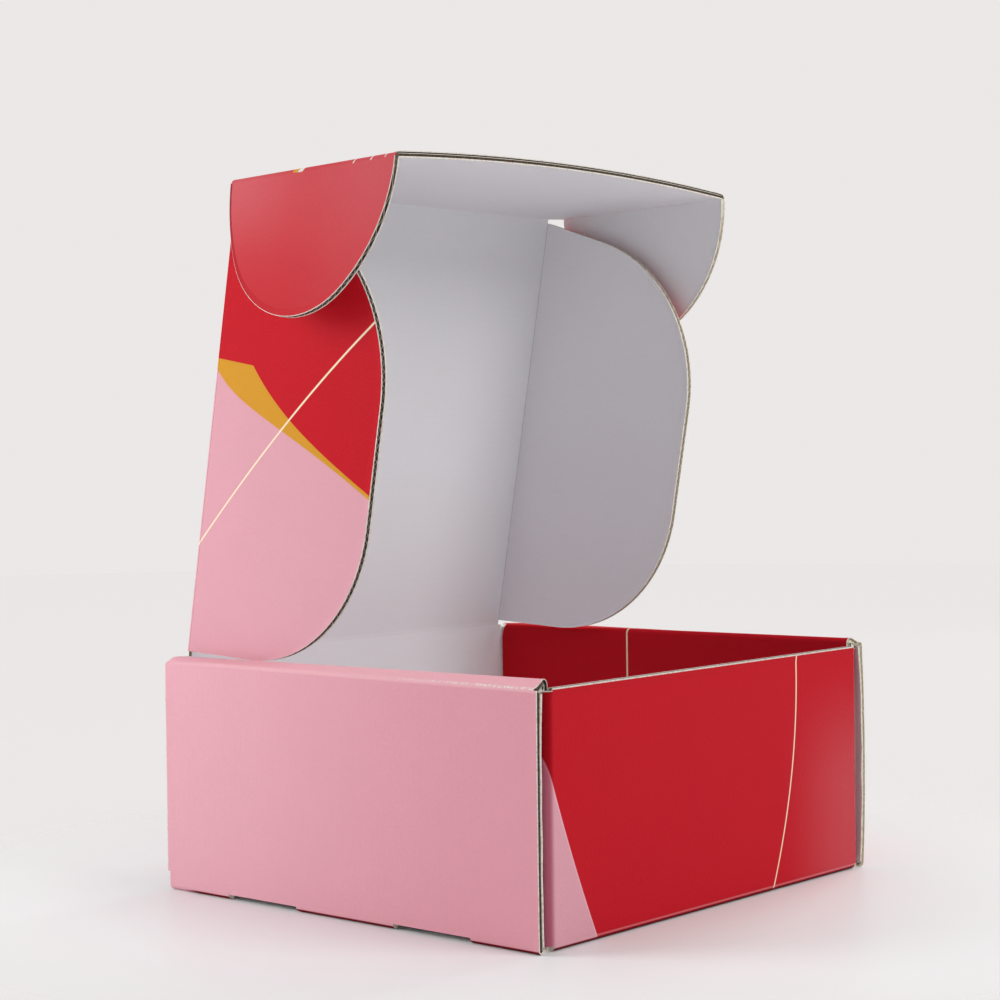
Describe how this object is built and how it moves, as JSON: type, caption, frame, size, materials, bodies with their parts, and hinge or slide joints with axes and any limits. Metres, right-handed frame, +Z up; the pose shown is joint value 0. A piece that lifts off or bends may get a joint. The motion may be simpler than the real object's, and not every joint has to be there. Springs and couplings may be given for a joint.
{
  "type": "corrugated mailer box",
  "caption": "Roll-end corrugated mailer box with a hinged lid, two rounded dust wings, a tuck flap and two rounded ears, standing open.",
  "frame": {"origin": "centre of the underside of the box, on the surface it stands on", "axes": "+X across the box to the right-hand rolled side wall, +Y from the front wall to the hinged back wall, +Z up"},
  "size_m": [0.2332, 0.2091, 0.3045],
  "materials": {
    "printed_board": "matt"
  },
  "bodies": {
    "tray": {"tray": "printed_board"},
    "lid": {"lid": "printed_board"},
    "left_wing": {"left_wing": "printed_board"},
    "right_wing": {"right_wing": "printed_board"},
    "tuck_flap": {"tuck_flap": "printed_board"},
    "left_ear": {"left_ear": "printed_board"},
    "right_ear": {"right_ear": "printed_board"}
  },
  "joints": [
    {"name": "lid_hinge", "type": "hinge", "parent": "tray", "child": "lid", "pos_m": [0, 0.10235, 0.101], "axis": [1, 0, 0], "range_deg": [-100, 50]},
    {"name": "left_wing_fold", "type": "hinge", "parent": "lid", "child": "left_wing", "pos_m": [-0.1012, 0.10146, 0.10084], "axis": [0, -0.1771, 0.9842], "range_deg": [0, 85]},
    {"name": "right_wing_fold", "type": "hinge", "parent": "lid", "child": "right_wing", "pos_m": [0.1012, 0.10146, 0.10084], "axis": [0, 0.1771, -0.9842], "range_deg": [0, 85]},
    {"name": "tuck_fold", "type": "hinge", "parent": "lid", "child": "tuck_flap", "pos_m": [0, 0.06642, 0.30069], "axis": [1, 0, 0], "range_deg": [-78, 11.5]},
    {"name": "left_ear_fold", "type": "hinge", "parent": "tuck_flap", "child": "left_ear", "pos_m": [-0.1092, 0.06642, 0.30069], "axis": [0, -0.9996, 0.0297], "range_deg": [-80, 9.5]},
    {"name": "right_ear_fold", "type": "hinge", "parent": "tuck_flap", "child": "right_ear", "pos_m": [0.1092, 0.06642, 0.30069], "axis": [0, 0.9996, -0.0297], "range_deg": [-88, 1.5]}
  ]
}
